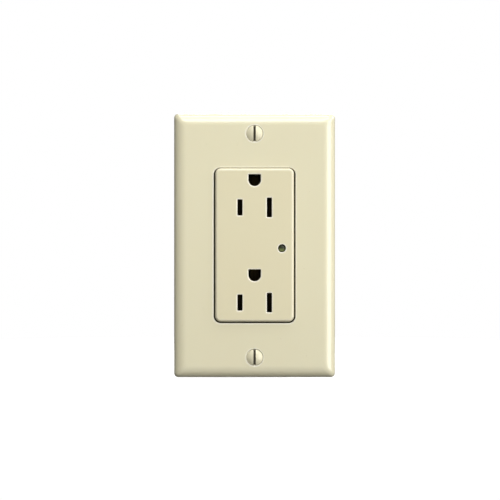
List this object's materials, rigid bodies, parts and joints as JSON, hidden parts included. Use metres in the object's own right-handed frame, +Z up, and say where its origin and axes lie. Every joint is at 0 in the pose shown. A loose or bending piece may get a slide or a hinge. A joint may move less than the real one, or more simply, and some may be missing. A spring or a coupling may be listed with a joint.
{
  "type": "duplex receptacle",
  "caption": "Ivory decorator-style duplex receptacle with a round status light, in a single-gang wallplate, with its strap, contacts, terminals and surge board.",
  "frame": {"origin": "centre of the device's flat front face, where a plug's body comes to rest", "axes": "+X to the right seen from the room, +Y into the wall, +Z up with the ground holes above the blade slots"},
  "size_m": [0.0698, 0.038, 0.1142],
  "materials": {
    "ivory_plastic": "smooth moulded ivory, soft gloss",
    "ivory_face": "smooth moulded ivory, satin gloss",
    "ivory_paint": "ivory enamel over steel",
    "charcoal_plastic": "fine grained dark grey thermoset",
    "zinc_steel": "bright zinc plate on rolled steel",
    "brass_strip": "rolled brass",
    "brass_screw": "turned brass",
    "silver_screw": "nickel plate",
    "green_screw": "green lacquer over steel",
    "fibre": "pressed fibre",
    "light_pipe": "clear, tinted green",
    "led_resin": "diffused green resin",
    "grey_plastic": "pressed insulating sheet",
    "board": "green solder mask over glass fibre board",
    "varistor_coat": "dipped blue epoxy",
    "tinned_metal": "bright tinned",
    "resistor_body": "tan lacquer",
    "diode_body": "black moulded epoxy",
    "wire_black": "black insulation",
    "wire_white": "white insulation",
    "wire_green": "green insulation"
  },
  "bodies": {
    "root": {"front_cover": "ivory_face", "rear_housing": "charcoal_plastic", "mounting_strap": "zinc_steel", "screw_retainer_top": "fibre", "screw_retainer_bottom": "fibre", "grounding_clip": "brass_strip", "insulating_barrier": "grey_plastic", "circuit_board": "board", "varistor_line_neutral": "varistor_coat", "varistor_line_ground": "varistor_coat", "varistor_neutral_ground": "varistor_coat", "thermal_fuse": "tinned_metal", "led_resistor": "resistor_body", "led_diode": "diode_body", "indicator_light_pipe": "light_pipe", "indicator_led": "led_resin", "hot_lead": "wire_black", "neutral_lead": "wire_white", "ground_lead": "wire_green", "ground_strip": "brass_strip", "ground_rivet": "zinc_steel", "housing_screw_1": "zinc_steel", "housing_screw_2": "zinc_steel", "housing_screw_3": "zinc_steel", "housing_screw_4": "zinc_steel", "hot_bus": "brass_strip", "neutral_bus": "brass_strip"},
    "wallplate": {"wallplate": "ivory_plastic"},
    "wallplate_screw_top": {"wallplate_screw_top": "ivory_paint"},
    "mounting_screw_top": {"mounting_screw_top": "zinc_steel"},
    "wallplate_screw_bottom": {"wallplate_screw_bottom": "ivory_paint"},
    "mounting_screw_bottom": {"mounting_screw_bottom": "zinc_steel"},
    "hot_top_terminal_screw": {"hot_top_terminal_screw": "brass_screw"},
    "hot_top_pressure_plate": {"hot_top_pressure_plate": "brass_screw"},
    "hot_bottom_terminal_screw": {"hot_bottom_terminal_screw": "brass_screw"},
    "hot_bottom_pressure_plate": {"hot_bottom_pressure_plate": "brass_screw"},
    "neutral_top_terminal_screw": {"neutral_top_terminal_screw": "silver_screw"},
    "neutral_top_pressure_plate": {"neutral_top_pressure_plate": "silver_screw"},
    "neutral_bottom_terminal_screw": {"neutral_bottom_terminal_screw": "silver_screw"},
    "neutral_bottom_pressure_plate": {"neutral_bottom_pressure_plate": "silver_screw"},
    "ground_terminal_screw": {"ground_terminal_screw": "green_screw"},
    "ground_pressure_plate": {"ground_pressure_plate": "zinc_steel"},
    "hot_contact_leaf_top": {"hot_contact_leaf_top": "brass_strip"},
    "neutral_contact_leaf_top": {"neutral_contact_leaf_top": "brass_strip"},
    "ground_contact_leaf_top_left": {"ground_contact_leaf_top_left": "brass_strip"},
    "ground_contact_leaf_top_right": {"ground_contact_leaf_top_right": "brass_strip"},
    "hot_contact_leaf_bottom": {"hot_contact_leaf_bottom": "brass_strip"},
    "neutral_contact_leaf_bottom": {"neutral_contact_leaf_bottom": "brass_strip"},
    "ground_contact_leaf_bottom_left": {"ground_contact_leaf_bottom_left": "brass_strip"},
    "ground_contact_leaf_bottom_right": {"ground_contact_leaf_bottom_right": "brass_strip"}
  },
  "joints": [
    {"name": "faceplate_lift", "type": "slide", "parent": "root", "child": "wallplate", "axis": [0, -1, 0], "range_m": [0, 0.0084]},
    {"name": "wallplate_screw_top_turn", "type": "hinge", "parent": "wallplate", "child": "wallplate_screw_top", "pos_m": [0, 0.0012, 0.04842], "axis": [0, -1, 0], "range_deg": [0, 3810]},
    {"name": "mounting_screw_top_turn", "type": "hinge", "parent": "root", "child": "mounting_screw_top", "pos_m": [0, 0.0054, 0.04167], "axis": [0, -1, 0], "continuous": true},
    {"name": "wallplate_screw_bottom_turn", "type": "hinge", "parent": "wallplate", "child": "wallplate_screw_bottom", "pos_m": [0, 0.0012, -0.04842], "axis": [0, -1, 0], "range_deg": [0, 3810]},
    {"name": "mounting_screw_bottom_turn", "type": "hinge", "parent": "root", "child": "mounting_screw_bottom", "pos_m": [0, 0.0054, -0.04167], "axis": [0, -1, 0], "continuous": true},
    {"name": "hot_top_pressure_plate_slide", "type": "slide", "parent": "root", "child": "hot_top_pressure_plate", "axis": [1, 0, 0], "range_m": [0, 0.0022]},
    {"name": "hot_top_terminal_screw_turn", "type": "hinge", "parent": "root", "child": "hot_top_terminal_screw", "pos_m": [-0.0193, 0.019, 0.014], "axis": [-1, 0, 0], "range_deg": [0, 998]},
    {"name": "hot_bottom_pressure_plate_slide", "type": "slide", "parent": "root", "child": "hot_bottom_pressure_plate", "axis": [1, 0, 0], "range_m": [0, 0.0022]},
    {"name": "hot_bottom_terminal_screw_turn", "type": "hinge", "parent": "root", "child": "hot_bottom_terminal_screw", "pos_m": [-0.0193, 0.019, -0.014], "axis": [-1, 0, 0], "range_deg": [0, 998]},
    {"name": "neutral_top_pressure_plate_slide", "type": "slide", "parent": "root", "child": "neutral_top_pressure_plate", "axis": [-1, 0, 0], "range_m": [0, 0.0022]},
    {"name": "neutral_top_terminal_screw_turn", "type": "hinge", "parent": "root", "child": "neutral_top_terminal_screw", "pos_m": [0.0193, 0.019, 0.014], "axis": [1, 0, 0], "range_deg": [0, 998]},
    {"name": "neutral_bottom_pressure_plate_slide", "type": "slide", "parent": "root", "child": "neutral_bottom_pressure_plate", "axis": [-1, 0, 0], "range_m": [0, 0.0022]},
    {"name": "neutral_bottom_terminal_screw_turn", "type": "hinge", "parent": "root", "child": "neutral_bottom_terminal_screw", "pos_m": [0.0193, 0.019, -0.014], "axis": [1, 0, 0], "range_deg": [0, 998]},
    {"name": "ground_pressure_plate_slide", "type": "slide", "parent": "root", "child": "ground_pressure_plate", "axis": [-1, 0, 0], "range_m": [0, 0.0022]},
    {"name": "ground_terminal_screw_turn", "type": "hinge", "parent": "root", "child": "ground_terminal_screw", "pos_m": [0.0166, 0.0126, 0.0403], "axis": [1, 0, 0], "range_deg": [0, 998]},
    {"name": "top_outlet_hot_leaf", "type": "hinge", "parent": "root", "child": "hot_contact_leaf_top", "pos_m": [-0.0047, 0.0182, 0.0164], "axis": [0, 0, 1], "range_deg": [0, 4]},
    {"name": "top_outlet_neutral_leaf", "type": "hinge", "parent": "root", "child": "neutral_contact_leaf_top", "pos_m": [0.0047, 0.0182, 0.0164], "axis": [0, 0, -1], "range_deg": [0, 4]},
    {"name": "top_outlet_ground_left_leaf", "type": "hinge", "parent": "root", "child": "ground_contact_leaf_top_left", "pos_m": [-0.0029, 0.0218, 0.02829], "axis": [0, 0, -1], "range_deg": [0, 3]},
    {"name": "top_outlet_ground_right_leaf", "type": "hinge", "parent": "root", "child": "ground_contact_leaf_top_right", "pos_m": [0.0029, 0.0218, 0.02829], "axis": [0, 0, 1], "range_deg": [0, 3]},
    {"name": "bottom_outlet_hot_leaf", "type": "hinge", "parent": "root", "child": "hot_contact_leaf_bottom", "pos_m": [-0.0047, 0.0182, -0.0247], "axis": [0, 0, 1], "range_deg": [0, 4]},
    {"name": "bottom_outlet_neutral_leaf", "type": "hinge", "parent": "root", "child": "neutral_contact_leaf_bottom", "pos_m": [0.0047, 0.0182, -0.0247], "axis": [0, 0, -1], "range_deg": [0, 4]},
    {"name": "bottom_outlet_ground_left_leaf", "type": "hinge", "parent": "root", "child": "ground_contact_leaf_bottom_left", "pos_m": [-0.0029, 0.0218, -0.01281], "axis": [0, 0, -1], "range_deg": [0, 3]},
    {"name": "bottom_outlet_ground_right_leaf", "type": "hinge", "parent": "root", "child": "ground_contact_leaf_bottom_right", "pos_m": [0.0029, 0.0218, -0.01281], "axis": [0, 0, 1], "range_deg": [0, 3]}
  ],
  "couplings": [
    {"joint": "wallplate_screw_top_turn", "follows": "faceplate_lift", "rad_per_m": 7915.8},
    {"joint": "wallplate_screw_bottom_turn", "follows": "faceplate_lift", "rad_per_m": 7915.8},
    {"joint": "hot_top_terminal_screw_turn", "follows": "hot_top_pressure_plate_slide", "rad_per_m": 7915.8},
    {"joint": "hot_bottom_terminal_screw_turn", "follows": "hot_bottom_pressure_plate_slide", "rad_per_m": 7915.8},
    {"joint": "neutral_top_terminal_screw_turn", "follows": "neutral_top_pressure_plate_slide", "rad_per_m": 7915.8},
    {"joint": "neutral_bottom_terminal_screw_turn", "follows": "neutral_bottom_pressure_plate_slide", "rad_per_m": 7915.8},
    {"joint": "ground_terminal_screw_turn", "follows": "ground_pressure_plate_slide", "rad_per_m": 7915.8},
    {"joint": "top_outlet_neutral_leaf", "follows": "top_outlet_hot_leaf", "ratio": 1},
    {"joint": "top_outlet_ground_left_leaf", "follows": "top_outlet_hot_leaf", "ratio": 0.75},
    {"joint": "top_outlet_ground_right_leaf", "follows": "top_outlet_hot_leaf", "ratio": 0.75},
    {"joint": "bottom_outlet_neutral_leaf", "follows": "bottom_outlet_hot_leaf", "ratio": 1},
    {"joint": "bottom_outlet_ground_left_leaf", "follows": "bottom_outlet_hot_leaf", "ratio": 0.75},
    {"joint": "bottom_outlet_ground_right_leaf", "follows": "bottom_outlet_hot_leaf", "ratio": 0.75}
  ]
}
